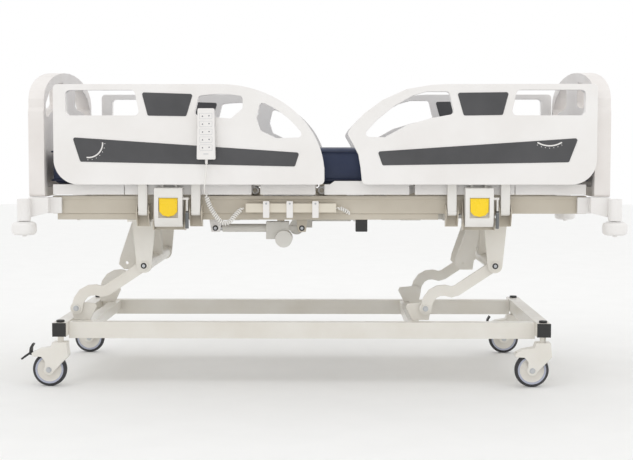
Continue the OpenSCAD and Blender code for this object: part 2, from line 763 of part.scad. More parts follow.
base_frame();
base_caps();
base_pivots();
castor_fork(head_castor_x, -1, true);  // castor_fork_hn
castor_fork(head_castor_x, 1);  // castor_fork_hf
castor_fork(foot_castor_x, -1);  // castor_fork_fn
castor_fork(foot_castor_x, 1, true);  // castor_fork_ff
castor_wheel(head_castor_x, -1);  // castor_wheel_hn
castor_wheel(head_castor_x, 1);  // castor_wheel_hf
castor_wheel(foot_castor_x, -1);  // castor_wheel_fn
castor_wheel(foot_castor_x, 1);  // castor_wheel_ff
brake_pedal(head_castor_x, -1);  // brake_pedal_hn
brake_pedal(foot_castor_x, 1);  // brake_pedal_ff
lift_arms(head_low_x);  // head_lift_arms
lift_arms(foot_low_x);  // foot_lift_arms
lift_actuator(-high_pivot_x, 1);  // head_lift_actuator
lift_rod(-high_pivot_x, 1);  // head_lift_rod
lift_actuator(high_pivot_x, -1);  // foot_lift_actuator
lift_rod(high_pivot_x, -1);  // foot_lift_rod
bed_frame();
leg_brackets();
rail_brackets();
corner_posts();
corner_roller(-1, -1);  // corner_roller_hn
corner_roller(-1, 1);  // corner_roller_hf
corner_roller(1, -1);  // corner_roller_fn
corner_roller(1, 1);  // corner_roller_ff
end_board(-1);  // headboard
end_board(1);  // footboard
back_panel();
seat_panel();
thigh_panel();
calf_panel();
mattress_block(-mattress_x, -115);  // mattress_head
mattress_block(-115, 170);  // mattress_mid
mattress_block(170, mattress_x);  // mattress_foot
at_near() section_actuator(back_eye_x, -1);  // back_actuator
at_near() section_rod(back_eye_x, -1);  // back_rod
at_far() section_actuator(knee_eye_x, 1);  // knee_actuator
at_far() section_rod(knee_eye_x, 1);  // knee_rod
cable_tray();
handset();
handset_cord();
cord_tail();
near() rail_panel(0);  // rail_panel_hn
rail_panel(0);  // rail_panel_hf
near() rail_panel(1);  // rail_panel_fn
rail_panel(1);  // rail_panel_ff
near() rail_arms(rail_groups[0]);  // rail_arms_hn
rail_arms(rail_groups[0]);  // rail_arms_hf
near() rail_arms(rail_groups[1]);  // rail_arms_fn
rail_arms(rail_groups[1]);  // rail_arms_ff
near() rail_lever(rail_groups[0]);  // rail_lever_hn
rail_lever(rail_groups[0]);  // rail_lever_hf
near() rail_lever(rail_groups[1]);  // rail_lever_fn
rail_lever(rail_groups[1]);  // rail_lever_ff
near() rail_release(rail_groups[0]);  // rail_release_hn
rail_release(rail_groups[0]);  // rail_release_hf
near() rail_release(rail_groups[1]);  // rail_release_fn
rail_release(rail_groups[1]);  // rail_release_ff
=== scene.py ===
"""Looks of an adjustable hospital bed, built around its mechanical frame, in metres.

Head end towards -X, operator's side towards -Y, floor at z = 0.
"""
import json
import logging
import math
from collections.abc import Callable, Sequence
from dataclasses import dataclass
from enum import Enum

import bmesh
import bpy
from mathutils import Matrix, Vector

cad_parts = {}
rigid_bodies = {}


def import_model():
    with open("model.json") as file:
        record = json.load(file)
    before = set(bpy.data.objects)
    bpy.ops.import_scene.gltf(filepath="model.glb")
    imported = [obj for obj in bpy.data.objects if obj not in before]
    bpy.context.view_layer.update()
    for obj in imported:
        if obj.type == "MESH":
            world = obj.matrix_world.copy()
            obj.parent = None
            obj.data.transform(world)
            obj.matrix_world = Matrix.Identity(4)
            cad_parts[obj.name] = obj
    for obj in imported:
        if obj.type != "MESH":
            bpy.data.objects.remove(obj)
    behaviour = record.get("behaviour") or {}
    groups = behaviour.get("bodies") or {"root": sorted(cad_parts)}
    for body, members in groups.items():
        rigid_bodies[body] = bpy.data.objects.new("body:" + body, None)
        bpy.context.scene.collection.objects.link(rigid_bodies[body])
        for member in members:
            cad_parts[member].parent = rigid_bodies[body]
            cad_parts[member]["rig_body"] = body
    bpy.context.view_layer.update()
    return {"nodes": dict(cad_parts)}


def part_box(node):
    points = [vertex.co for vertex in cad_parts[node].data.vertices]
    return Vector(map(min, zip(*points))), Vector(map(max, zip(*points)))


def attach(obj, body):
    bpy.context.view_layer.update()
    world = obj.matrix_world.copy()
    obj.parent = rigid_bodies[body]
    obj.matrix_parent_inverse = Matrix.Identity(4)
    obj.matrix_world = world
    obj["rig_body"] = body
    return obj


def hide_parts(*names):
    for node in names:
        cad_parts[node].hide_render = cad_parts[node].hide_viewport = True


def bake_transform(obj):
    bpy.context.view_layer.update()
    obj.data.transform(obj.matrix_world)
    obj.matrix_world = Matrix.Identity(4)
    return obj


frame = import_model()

log = logging.getLogger("bed")
MM = 0.001
Point = tuple[float, float]
Place = tuple[float, float, float]


# ---------------------------------------------------------------- finishes

class Surface(Enum):
    """How a surface was made, which decides the pattern of its bump."""

    MOULDED = "spark texture of an injection mould"
    ENAMEL = "orange peel of baked powder paint"
    BRUSHED = "fine lines of a ground bar"
    KNIT = "ribs and stitches of a coated knit"
    RUBBER = "dull tread rubber"


def linear(colour: str) -> tuple[float, float, float, float]:
    """Turns an sRGB hex colour into the linear colour that a shader takes.

    Args:
        colour: six hex digits after a hash sign.

    Returns:
        Red, green, blue and an alpha of one.
    """
    parts = [int(colour[i:i + 2], 16) / 255 for i in (1, 3, 5)]
    made = [c / 12.92 if c <= 0.04045 else ((c + 0.055) / 1.055) ** 2.4 for c in parts]
    return (made[0], made[1], made[2], 1.0)


def add_node(tree: bpy.types.NodeTree, kind: str, settings: dict | None = None,
             values: dict | None = None, links: dict | None = None) -> bpy.types.Node:
    """Adds one node to a material.

    Args:
        tree: the material's node tree.
        kind: the node's type name.
        settings: properties of the node.
        values: fixed values by input name or index.
        links: output sockets by input name or index.

    Returns:
        The new node.
    """
    made = tree.nodes.new(kind)
    for key, value in (settings or {}).items():
        setattr(made, key, value)
    for key, value in (values or {}).items():
        made.inputs[key].default_value = value
    for key, socket in (links or {}).items():
        tree.links.new(socket, made.inputs[key])
    return made


@dataclass(frozen=True)
class Finish:
    """A real material: its colour, gloss and the scale of its pattern.

    Attributes:
        name: what a maker calls it.
        colour: the main colour, sRGB hex.
        shade: a second tone that drifts over the surface, sRGB hex.
        surface: how it was made.
        roughness: mean roughness.
        grain_mm: spacing of the bump pattern.
        relief_mm: height of the bump pattern.
        metallic: one for bare metal.
        coat: strength of a clear top layer.
        sheen: strength of cloth sheen.
        ior: refractive index.
    """

    name: str
    colour: str
    shade: str
    surface: Surface
    roughness: float
    grain_mm: float
    relief_mm: float
    metallic: float = 0.0
    coat: float = 0.0
    sheen: float = 0.0
    ior: float = 1.5

    def material(self) -> bpy.types.Material:
        """Gives the node material of this finish, made once."""
        found = bpy.data.materials.get(self.name)
        if found is not None:
            return found
        made = bpy.data.materials.new(self.name)
        made.use_nodes = True
        made.diffuse_color = linear(self.colour)
        tree = made.node_tree
        shader = tree.nodes["Principled BSDF"]
        place = add_node(tree, "ShaderNodeTexCoord").outputs["Object"]
        shader.inputs["Metallic"].default_value = self.metallic
        if not self.metallic:
            shader.inputs["IOR"].default_value = self.ior
        shader.inputs["Coat Weight"].default_value = self.coat
        shader.inputs["Coat Roughness"].default_value = 0.12
        shader.inputs["Sheen Weight"].default_value = self.sheen
        self._colour(tree, shader, place)
        self._gloss(tree, shader, place)
        height = self._height(tree, place)
        bump = add_node(tree, "ShaderNodeBump", values={"Distance": self.relief_mm * MM, "Strength": 0.9},
                        links={"Height": height})
        tree.links.new(bump.outputs["Normal"], shader.inputs["Normal"])
        return made

    def _colour(self, tree: bpy.types.NodeTree, shader: bpy.types.Node,
                place: bpy.types.NodeSocket) -> None:
        """Lets the colour drift towards the second tone, in patches about 18 cm across.

        Args:
            tree: the material's node tree.
            shader: its shader.
            place: the coordinates.
        """
        drift_per_m = 1 / 0.18
        drift = add_node(tree, "ShaderNodeTexNoise", values={"Scale": drift_per_m, "Detail": 4.0},
                         links={"Vector": place})
        soft = add_node(tree, "ShaderNodeMapRange", values={"From Min": 0.35, "From Max": 0.75},
                        links={"Value": drift.outputs["Fac"]})
        mix = add_node(tree, "ShaderNodeMix", {"data_type": "RGBA"},
                       {6: linear(self.colour), 7: linear(self.shade)},
                       {0: soft.outputs["Result"]})
        tree.links.new(mix.outputs[2], shader.inputs["Base Color"])

    def _gloss(self, tree: bpy.types.NodeTree, shader: bpy.types.Node,
               place: bpy.types.NodeSocket) -> None:
        """Varies the roughness in soft smears, as handling and wiping leave it.

        Args:
            tree: the material's node tree.
            shader: its shader.
            place: the coordinates.
        """
        smears_per_m = 22.0
        smear = add_node(tree, "ShaderNodeTexNoise",
                         values={"Scale": smears_per_m, "Detail": 5.0, "Roughness": 0.6},
                         links={"Vector": place})
        spread = add_node(tree, "ShaderNodeMapRange",
                          values={"From Min": 0.3, "From Max": 0.7, "To Min": self.roughness * 0.82,
                                  "To Max": min(1.0, self.roughness * 1.18)},
                          links={"Value": smear.outputs["Fac"]})
        tree.links.new(spread.outputs["Result"], shader.inputs["Roughness"])

    def _height(self, tree: bpy.types.NodeTree, place: bpy.types.NodeSocket) -> bpy.types.NodeSocket:
        """Makes the bump pattern of the surface.

        Args:
            tree: the material's node tree.
            place: the coordinates.

        Returns:
            The socket that holds the height.
        """
        per_m = 1 / (self.grain_mm * MM)
        if self.surface is Surface.KNIT:
            ribs = add_node(tree, "ShaderNodeTexWave", {"bands_direction": "Y"},
                            {"Scale": per_m / 6.283, "Distortion": 0.4, "Detail": 1.0}, {"Vector": place})
            rows = add_node(tree, "ShaderNodeTexWave", {"bands_direction": "X"},
                            {"Scale": per_m / 6.283, "Distortion": 0.4, "Detail": 1.0}, {"Vector": place})
            both = add_node(tree, "ShaderNodeMath", {"operation": "MULTIPLY"},
                            links={0: ribs.outputs["Fac"], 1: rows.outputs["Fac"]})
            return both.outputs["Value"]
        if self.surface is Surface.BRUSHED:
            drawn = add_node(tree, "ShaderNodeMapping", values={"Scale": (0.04, 1.0, 1.0)},
                             links={"Vector": place})
            place = drawn.outputs["Vector"]
        grain = add_node(tree, "ShaderNodeTexNoise",
                         values={"Scale": per_m, "Detail": 2.0 if self.surface is Surface.ENAMEL else 6.0},
                         links={"Vector": place})
        return grain.outputs["Fac"]


# ABS, injection moulded and polished: a clean warm white with a soft, wide highlight
WHITE_ABS = Finish("abs_moulded_white", "#F1EFED", "#EBE8E5", Surface.MOULDED, 0.34, 1.4, 0.035, coat=0.15)
# the same plastic, blow moulded, a little warmer and duller
BOARD_ABS = Finish("abs_blow_moulded_warm_white", "#EEEAE7", "#E6E1DD", Surface.MOULDED, 0.40, 1.8, 0.05)
# powder paint baked on steel: cream, with orange peel about 2 mm across
CREAM_ENAMEL = Finish("powder_enamel_cream", "#E9E6DF", "#E0DBD1", Surface.ENAMEL, 0.38, 2.2, 0.06, coat=0.2)
# the same paint in sand on the long beams and the linkage brackets; the sand is partly their own beige and partly
# painted shade, standing in for the shadow of the rails above them
SAND_ENAMEL_WITH_PAINTED_SHADE = Finish("powder_enamel_sand_with_painted_shade", "#CBC3B4", "#BFB6A6", Surface.ENAMEL, 0.40, 2.2, 0.06, coat=0.2)
# PP with a coarse spark texture: charcoal, nearly matt
CHARCOAL_PP = Finish("polypropylene_charcoal", "#4E4E50", "#454547", Surface.MOULDED, 0.52, 0.9, 0.06)
# glass-filled nylon, spark textured: black caps, washers and pedals
BLACK_PA = Finish("polyamide_black", "#2B2B2B", "#232323", Surface.MOULDED, 0.50, 1.2, 0.08)
# glossy moulded ABS in signal yellow
YELLOW_ABS = Finish("abs_moulded_yellow", "#FFD900", "#F5CB00", Surface.MOULDED, 0.28, 1.5, 0.03, coat=0.3)
# the same nylon in white, for the rails' arms and levers
LEVER_PA = Finish("polyamide_glass_filled_white", "#EDEBE7", "#E2DFD9", Surface.MOULDED, 0.45, 1.2, 0.06)
# thermoplastic rubber: dark grey, dull from use
TYRE_RUBBER = Finish("thermoplastic_rubber_grey", "#3A3A3D", "#313134", Surface.RUBBER, 0.62, 1.6, 0.12)
# PP ring between tyre and rim
RING_PP = Finish("polypropylene_lilac_grey", "#B4B8C8", "#A6AABB", Surface.MOULDED, 0.42, 1.2, 0.04)
# PP rim and hub, bone white
RIM_PP = Finish("polypropylene_bone", "#E4E0D8", "#D9D4CA", Surface.MOULDED, 0.42, 1.2, 0.05)
# electro-galvanised steel: bright, faintly blue, with a drawn grain
ZINC = Finish("zinc_plated_steel", "#C9CBCD", "#B4B6B9", Surface.BRUSHED, 0.32, 0.6, 0.02, metallic=1.0)
# ground and polished rod, with fine lines along it
GROUND_STEEL = Finish("ground_steel_rod", "#C4C4C4", "#B3B3B3", Surface.BRUSHED, 0.24, 0.5, 0.015, metallic=1.0)
# painted tube of a gas spring
SPRING_GREY = Finish("painted_tube_grey", "#6F7274", "#636668", Surface.ENAMEL, 0.36, 1.6, 0.03, coat=0.3)
# nylon housing of a drive, pale grey
MOTOR_PA = Finish("polyamide_motor_grey", "#D8D6D0", "#CBC8C1", Surface.MOULDED, 0.48, 1.0, 0.07)
# extruded PVC channel
TRAY_PVC = Finish("pvc_extruded_beige", "#E6DFD0", "#DAD2C2", Surface.MOULDED, 0.44, 1.5, 0.03)
# moulded silicone round the keys
KEY_SILICONE = Finish("silicone_key_grey", "#C3C6CA", "#B7BABE", Surface.RUBBER, 0.55, 0.9, 0.04)
# pad-printed grey ink
MARK_INK = Finish("pad_printed_ink", "#5A6068", "#50565E", Surface.MOULDED, 0.50, 1.0, 0.01)
# polyurethane sheath, nearly white
CORD_TPU = Finish("polyurethane_cord_grey_white", "#F0EEEA", "#E8E6E1", Surface.RUBBER, 0.42, 1.0, 0.03)
# polyurethane-coated polyester knit; stitches are 1 mm and are drawn at 3 mm so that they show
COVER_KNIT = Finish("coated_knit_navy", "#1F2D4D", "#1A2642", Surface.KNIT, 0.58, 3.0, 0.18, sheen=0.25)
# welded bead of the same cover
PIPING = Finish("welded_piping_navy", "#1A2540", "#151E36", Surface.RUBBER, 0.45, 1.2, 0.05)
# seamless background paper
STUDIO_PAPER = Finish("background_paper", "#F7F7F6", "#F5F5F4", Surface.RUBBER, 0.85, 3.0, 0.01)


# ---------------------------------------------------------------- mesh work

def mesh_piece(name: str, bm: bmesh.types.BMesh, finish: Finish, smooth_deg: float = 34.0) -> bpy.types.Object:
    """Turns a bmesh into an object at the origin, smooth-shaded up to an angle.

    Args:
        name: the piece's name.
        bm: the shape; it is freed.
        finish: the material.
        smooth_deg: edges sharper than this stay crisp.

    Returns:
        The object.
    """
    for face in bm.faces:
        face.smooth = True
    mesh = bpy.data.meshes.new(name)
    bm.to_mesh(mesh)
    bm.free()
    mesh.set_sharp_from_angle(angle=math.radians(smooth_deg))
    mesh.materials.append(finish.material())
    made = bpy.data.objects.new(name, mesh)
    bpy.context.scene.collection.objects.link(made)
    normals = made.modifiers.new("face_weights", "WEIGHTED_NORMAL")
    normals.keep_sharp = True
    return made


def round_edges(bm: bmesh.types.BMesh, width: float, segments: int = 3,
                wanted: Callable[[bmesh.types.BMEdge], bool] | None = None) -> None:
    """Bevels the convex edges of a shape.

    Args:
        bm: the shape.
        width: the bevel's width.
        segments: how many faces cross the bevel.
        wanted: picks edges; all sharp convex ones by default.
    """
    sharp = math.radians(28)
    edges = [e for e in bm.edges if len(e.link_faces) == 2 and e.is_convex
             and e.calc_face_angle(0) > sharp and (wanted is None or wanted(e))]
    bmesh.ops.bevel(bm, geom=edges, offset=width, offset_type="OFFSET", affect="EDGES",
                    segments=segments, profile=0.5, material=-1, clamp_overlap=True)


def moulded(node: str, finish: Finish, width: float, segments: int = 3,
            wanted: Callable[[bmesh.types.BMEdge], bool] | None = None) -> bpy.types.Object:
    """Makes a rounded copy of a CAD node that stands in for it.

    Args:
        node: the CAD node.
        finish: its material.
        width: radius-like width of its edges.
        segments: faces across each edge.
        wanted: picks the edges to round.

    Returns:
        The copy, riding on the node's body.
    """
    source = frame["nodes"][node]
    bm = bmesh.new()
    bm.from_mesh(source.data)
    bmesh.ops.remove_doubles(bm, verts=bm.verts, dist=0.02 * MM)
    bmesh.ops.dissolve_limit(bm, angle_limit=math.radians(0.6), verts=bm.verts, edges=bm.edges,
                             use_dissolve_boundaries=False)
    bm.normal_update()
    if width > 0:
        round_edges(bm, width, segments, wanted)
    made = mesh_piece(node + "_finished", bm, finish)
    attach(made, source["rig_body"])
    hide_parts(node)
    log.info("%s: %d faces", made.name, len(made.data.polygons))
    return made


def rounded_outline(corners: Sequence[Point], radius: float, steps: int = 5) -> list[Point]:
    """Rounds the corners of a polygon with arcs.

    Args:
        corners: the polygon.
        radius: the arcs' radius.
        steps: spans in each arc.

    Returns:
        The rounded outline.
    """
    made: list[Point] = []
    for i, corner in enumerate(corners):
        here = Vector(corner)
        before = (Vector(corners[i - 1]) - here).normalized()
        after = (Vector(corners[(i + 1) % len(corners)]) - here).normalized()
        half = before.angle(after) / 2
        centre = here + (before + after).normalized() * (radius / math.sin(half))
        first = here + before * (radius / math.tan(half)) - centre
        last = here + after * (radius / math.tan(half)) - centre
        for k in range(steps + 1):
            spoke = first.lerp(last, k / steps).normalized() * radius
            made.append(tuple(centre + spoke))
    return made


def slab(name: str, outline: Sequence[Point], y0: float, y1: float, finish: Finish,
         body: str, edge: float = 0.8 * MM) -> bpy.types.Object:
    """Makes a flat plate in the XZ plane whose face at y1 has rounded edges.

    Args:
        name: the piece's name.
        outline: points (x, z).
        y0: the hidden face.
        y1: the shown face.
        finish: the material.
        body: what it rides on.
        edge: width of the rounded edge.

    Returns:
        The plate.
    """
    bm = bmesh.new()
    face = bm.faces.new([bm.verts.new((x, y0, z)) for x, z in outline])
    grown = bmesh.ops.extrude_face_region(bm, geom=[face])
    tops = [v for v in grown["geom"] if isinstance(v, bmesh.types.BMVert)]
    bmesh.ops.translate(bm, verts=tops, vec=(0, y1 - y0, 0))
    bmesh.ops.recalc_face_normals(bm, faces=bm.faces)
    round_edges(bm, edge, 2, lambda e: all(abs(v.co.y - y1) < 1e-6 for v in e.verts))
    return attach(mesh_piece(name, bm, finish), body)


def turned(name: str, profile: Sequence[Point], centre: Place, finish: Finish, body: str,
           axis: Place = (0, 1, 0), steps: int = 64) -> bpy.types.Object:
    """Turns a closed profile round an axis, as on a lathe.

    Args:
        name: the piece's name.
        profile: points (radius, place along the axis), closed.
        centre: a point on the axis.
        finish: the material.
        body: what it rides on.
        axis: the axis.
        steps: divisions of the full turn.

    Returns:
        The turned piece.
    """
    bm = bmesh.new()
    verts = [bm.verts.new((r, along, 0)) for r, along in profile]
    for i, vert in enumerate(verts):
        bm.edges.new((vert, verts[(i + 1) % len(verts)]))
    bmesh.ops.spin(bm, geom=[*bm.verts, *bm.edges], cent=(0, 0, 0), axis=(0, 1, 0),
                   angle=2 * math.pi, steps=steps, use_merge=True, use_duplicate=False)
    bmesh.ops.remove_doubles(bm, verts=bm.verts, dist=0.001 * MM)
    turn = Vector((0, 1, 0)).rotation_difference(Vector(axis)).to_matrix().to_4x4()
    bmesh.ops.transform(bm, matrix=Matrix.Translation(centre) @ turn, verts=bm.verts)
    bmesh.ops.recalc_face_normals(bm, faces=bm.faces)
    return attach(mesh_piece(name, bm, finish), body)


def bolt(name: str, face: Place, axis: Place, across: float, height: float, body: str,
         washer: bool = False) -> bpy.types.Object:
    """Puts a hexagon bolt head with a flange on a face.

    Args:
        name: the piece's name.
        face: centre of the head's underside.
        axis: outward direction.
        across: width across the corners.
        height: the head's height.
        body: what it rides on.
        washer: whether a black washer lies under it.

    Returns:
        The bolt head.
    """
    if washer:
        outer, thick = across * 0.85, 1.2 * MM
        ring = [(0.0, 0.0), (outer, 0.0), (outer * 0.95, thick), (0.0, thick)]
        turned(name + "_washer", ring, face, BLACK_PA, body, axis, 40)
    bm = bmesh.new()
    lift = Matrix.Translation((0, 0, height / 2))
    bmesh.ops.create_cone(bm, cap_ends=True, segments=6, radius1=across / 2, radius2=across / 2,
                          depth=height, matrix=lift)
    foot, top, share, edge = 0.62, 0.58, 0.24, 0.07      # of the width across, then of the height
    flange = Matrix.Translation((0, 0, height * share / 2))
    bmesh.ops.create_cone(bm, cap_ends=True, segments=32, radius1=across * foot, radius2=across * top,
                          depth=height * share, matrix=flange)
    round_edges(bm, height * edge, 2)
    turn = Vector((0, 0, 1)).rotation_difference(Vector(axis)).to_matrix().to_4x4()
    bmesh.ops.transform(bm, matrix=Matrix.Translation(face) @ turn, verts=bm.verts)
    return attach(mesh_piece(name, bm, ZINC), body)


def line_piece(name: str, points: Sequence[Place], radius: float, finish: Finish,
               closed: bool = False) -> bpy.types.Object:
    """Makes a round line along points, as a curve.

    Args:
        name: the piece's name.
        points: its centre line.
        radius: half its thickness.
        finish: the material.
        closed: whether it is a ring.

    Returns:
        The curve object.
    """
    curve = bpy.data.curves.new(name, "CURVE")
    curve.dimensions = "3D"
    spline = curve.splines.new("POLY")
    spline.points.add(len(points) - 1)
    for point, place in zip(spline.points, points):
        point.co = (*place, 1.0)
    spline.use_cyclic_u = closed
    spline.use_smooth = True
    curve.bevel_depth = radius
    curve.bevel_resolution = 3
    curve.use_fill_caps = not closed
    curve.materials.append(finish.material())
    made = bpy.data.objects.new(name, curve)
    bpy.context.scene.collection.objects.link(made)
    return made


def as_mesh(source: bpy.types.Object) -> bpy.types.Object:
    """Swaps an object for a plain mesh of what it shows, modifiers included.

    Args:
        source: the object; it is removed.

    Returns:
        The mesh object, under the same name.
    """
    name = source.name
    evaluated = source.evaluated_get(bpy.context.evaluated_depsgraph_get())
    mesh = bpy.data.meshes.new_from_object(evaluated)
    bpy.data.objects.remove(source)
    made = bpy.data.objects.new(name, mesh)
    bpy.context.scene.collection.objects.link(made)
    return made


def through(route: Sequence[Place], steps: int) -> list[Vector]:
    """Draws a smooth line through a given route.

    Args:
        route: the points.
        steps: divisions of each span.

    Returns:
        The finer points.
    """
    p = [Vector(x) for x in route]
    made: list[Vector] = []
    for i in range(len(p) - 1):
        a, b, c, d = p[max(i - 1, 0)], p[i], p[i + 1], p[min(i + 2, len(p) - 1)]
        for k in range(steps):
            t = k / steps
            made.append(0.5 * (2 * b + (c - a) * t + (2 * a - 5 * b + 4 * c - d) * t * t
                               + (3 * b - a - 3 * c + d) * t ** 3))
    made.append(p[-1])
    return made


def length_of(points: Sequence[Vector]) -> float:
    """Measures a line of points.

    Args:
        points: the line.

    Returns:
        Its length.
    """
    return sum((b - a).length for a, b in zip(points, points[1:]))


def helix(line: Sequence[Vector], radius: float, pitch: float, plain: float = 0.0,
          per_turn: int = 14) -> list[Vector]:
    """Winds a helix round a line, unwinding over two turns at its ends.

    The reference axis changes where the line runs nearly along Y, and the wire bends sharply at that point.

    Args:
        line: the helix's axis, finely divided.
        radius: from the axis to the wire's centre.
        pitch: advance in one turn.
        plain: length at the start that stays unwound.
        per_turn: points in one turn.

    Returns:
        The wire's centre line.
    """
    total = length_of(line)
    count = round(total / pitch * per_turn)
    made: list[Vector] = []
    span, walked, angle = 0, 0.0, 0.0
    steps = [(b - a).normalized() for a, b in zip(line, line[1:])]
    ways = [steps[0], *[(a + b).normalized() for a, b in zip(steps, steps[1:])], steps[-1]]
    for k in range(count + 1):
        along = total * k / count
        while span < len(line) - 2 and walked + (line[span + 1] - line[span]).length < along:
            walked += (line[span + 1] - line[span]).length
            span += 1
        step = line[span + 1] - line[span]
        part = min(1.0, (along - walked) / step.length)
        here = line[span] + step * part
        way = ways[span].lerp(ways[span + 1], part).normalized()
        across = way.cross(Vector((1, 0, 0)) if abs(way.y) > 0.8 else Vector((0, 1, 0))).normalized()
        up = way.cross(across)
        ends = max(0.0, min(1.0, min(along - plain, total - along) / (2 * pitch)))
        wound = ends * ends * (3 - 2 * ends)
        angle += 2 * math.pi * wound / per_turn
        made.append(here + radius * wound * (math.cos(angle) * across + math.sin(angle) * up))
    return made


# ---------------------------------------------------------------- studio

@dataclass
class Studio:
    """Camera, floor and soft light."""

    eye: Place = (0.049, -5.083, 0.883)
    pitch_deg: float = 86.22
    yaw_deg: float = 0.71
    lens_mm: float = 73.7
    floor_half: float = 14.0

    def camera(self) -> None:
        """Makes the camera."""
        data = bpy.data.cameras.new("camera")
        data.lens = self.lens_mm
        data.sensor_width = 36.0
        made = bpy.data.objects.new("camera", data)
        made.location = self.eye
        made.rotation_euler = (math.radians(self.pitch_deg), 0, math.radians(self.yaw_deg))
        bpy.context.scene.collection.objects.link(made)
        bpy.context.scene.camera = made

    def floor(self) -> None:
        """Lays a plain pale floor."""
        bm = bmesh.new()
        bmesh.ops.create_grid(bm, x_segments=1, y_segments=1, size=self.floor_half)
        mesh_piece("floor", bm, STUDIO_PAPER)

    def lamp(self, name: str, place: Place, size: float, watts: float) -> None:
        """Hangs a square soft box that faces the middle of the bed.

        Args:
            name: the lamp's name.
            place: where it hangs.
            size: its side.
            watts: its power.
        """
        data = bpy.data.lights.new(name, "AREA")
        data.size = size
        data.energy = watts
        made = bpy.data.objects.new(name, data)
        made.location = place
        aim = Vector((0, 0, 0.6)) - Vector(place)
        made.rotation_euler = aim.to_track_quat("-Z", "Y").to_euler()
        bpy.context.scene.collection.objects.link(made)

    def light(self) -> None:
        """Lights the room evenly, with one stronger box above the operator's side."""
        world = bpy.data.worlds.new("studio")
        world.use_nodes = True
        back = world.node_tree.nodes["Background"]
        back.inputs["Color"].default_value = linear("#FFFFFF")
        back.inputs["Strength"].default_value = 1.0
        bpy.context.scene.world = world
        bpy.context.scene.view_settings.view_transform = "Standard"
        self.lamp("key_box", (-1.4, -2.6, 4.2), 2.2, 9)
        self.lamp("fill_box", (3.0, -3.4, 2.4), 2.4, 3)
        self.lamp("back_box", (0.4, 3.0, 3.8), 2.6, 5)


# ---------------------------------------------------------------- base and lift

CORNERS = ("hn", "hf", "fn", "ff")


def side_of(corner: str) -> int:
    """Tells which side a corner is on.

    Args:
        corner: its two letters, end then side.

    Returns:
        -1 on the operator's side and 1 on the far side.
    """
    return -1 if corner[1] == "n" else 1


@dataclass
class Base:
    """Wheeled base: frame, caps, pivot plates and castors."""

    head_x: float = -0.945
    foot_x: float = 0.815
    castor_y: float = 0.391
    trail: float = 0.040
    wheel_r: float = 0.0625
    axle_r: float = 0.006

    def frame_parts(self) -> None:
        """Dresses the steelwork and its plastic caps."""
        moulded("base_frame", CREAM_ENAMEL, 2.0 * MM)
        moulded("base_caps", BLACK_PA, 1.2 * MM)
        moulded("base_pivots", CREAM_ENAMEL, 1.0 * MM)

    def wheel(self, corner: str) -> None:
        """Builds one castor wheel of tyre, coloured rings and rim.

        Args:
            corner: which castor.
        """
        x = (self.head_x if corner[0] == "h" else self.foot_x) - self.trail
        centre = (x, side_of(corner) * self.castor_y, self.wheel_r)
        body = "wheel_" + corner
        tread = [(45.5, -12.5), (50, -13.8), (55, -13.4), (59.5, -10.6), (62, -6), (62.5, -2),
                 (62.5, 2), (62, 6), (59.5, 10.6), (55, 13.4), (50, 13.8), (45.5, 12.5)]
        tyre = turned("tyre_" + corner, [(r * MM, y * MM) for r, y in tread], centre, TYRE_RUBBER, body)
        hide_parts("castor_wheel_" + corner)
        rim = [(6.1, -15), (15, -15), (17.5, -12), (22, -9.4), (37, -8.6), (41, -10.5), (45.6, -12.2),
               (45.6, 12.2), (41, 10.5), (37, 8.6), (22, 9.4), (17.5, 12), (15, 15), (6.1, 15)]
        turned("rim_" + corner, [(r * MM, y * MM) for r, y in rim], centre, RIM_PP, body)
        for tag, s in (("outer", 1), ("inner", -1)):
            band = [(44.2, 11.5), (51.4, 13.2), (51.2, 14.3), (45.0, 13.6)]
            turned(f"ring_{corner}_{tag}", [(r * MM, s * y * MM) for r, y in band], centre, RING_PP, body)

    def castor(self, corner: str) -> None:
        """Dresses one fork and its axle bolts, and builds its wheel.

        Args:
            corner: which castor.
        """
        moulded("castor_fork_" + corner, CREAM_ENAMEL, 2.2 * MM)
        self.wheel(corner)
        x = (self.head_x if corner[0] == "h" else self.foot_x) - self.trail
        for tag, s in (("outer", 1), ("inner", -1)):
            face = (x, side_of(corner) * self.castor_y + s * 24 * MM, self.wheel_r)
            bolt(f"axle_bolt_{corner}_{tag}", face, (0, s, 0), 17 * MM, 6 * MM, "castor_" + corner)

    def build(self) -> None:
        """Builds the whole base."""
        self.frame_parts()
        for corner in CORNERS:
            self.castor(corner)
        for corner in ("hn", "ff"):
            moulded("brake_pedal_" + corner, BLACK_PA, 1.0 * MM)


@dataclass
class Lift:
    """Parallelogram lift: arms, pivot bolts and actuators."""

    low_pivots: tuple[float, float] = (-0.904, 0.394)
    high_pivots: tuple[float, float] = (-0.649, 0.649)
    low_z: float = 0.275
    high_z: float = 0.435
    low_face: float = 0.307
    high_face: float = 0.319

    def build(self) -> None:
        """Builds arms, bolts and actuators; a high bolt is low enough to pass inside the base's side tube."""
        for end in ("head", "foot"):
            moulded(end + "_lift_arms", CREAM_ENAMEL, 2.4 * MM)
            moulded(end + "_lift_actuator", MOTOR_PA, 2.5 * MM)
            moulded(end + "_lift_rod", GROUND_STEEL, 0.8 * MM)
        for tag, s in (("near", -1), ("far", 1)):
            for end, low, high in zip(("head", "foot"), self.low_pivots, self.high_pivots):
                bolt(f"low_bolt_{end}_{tag}", (low, s * self.low_face, self.low_z), (0, s, 0),
                     17 * MM, 7 * MM, "base")
                bolt(f"high_bolt_{end}_{tag}", (high, s * self.high_face, self.high_z), (0, s, 0),
                     13 * MM, 4.6 * MM, "bed", washer=True)


# ---------------------------------------------------------------- platform

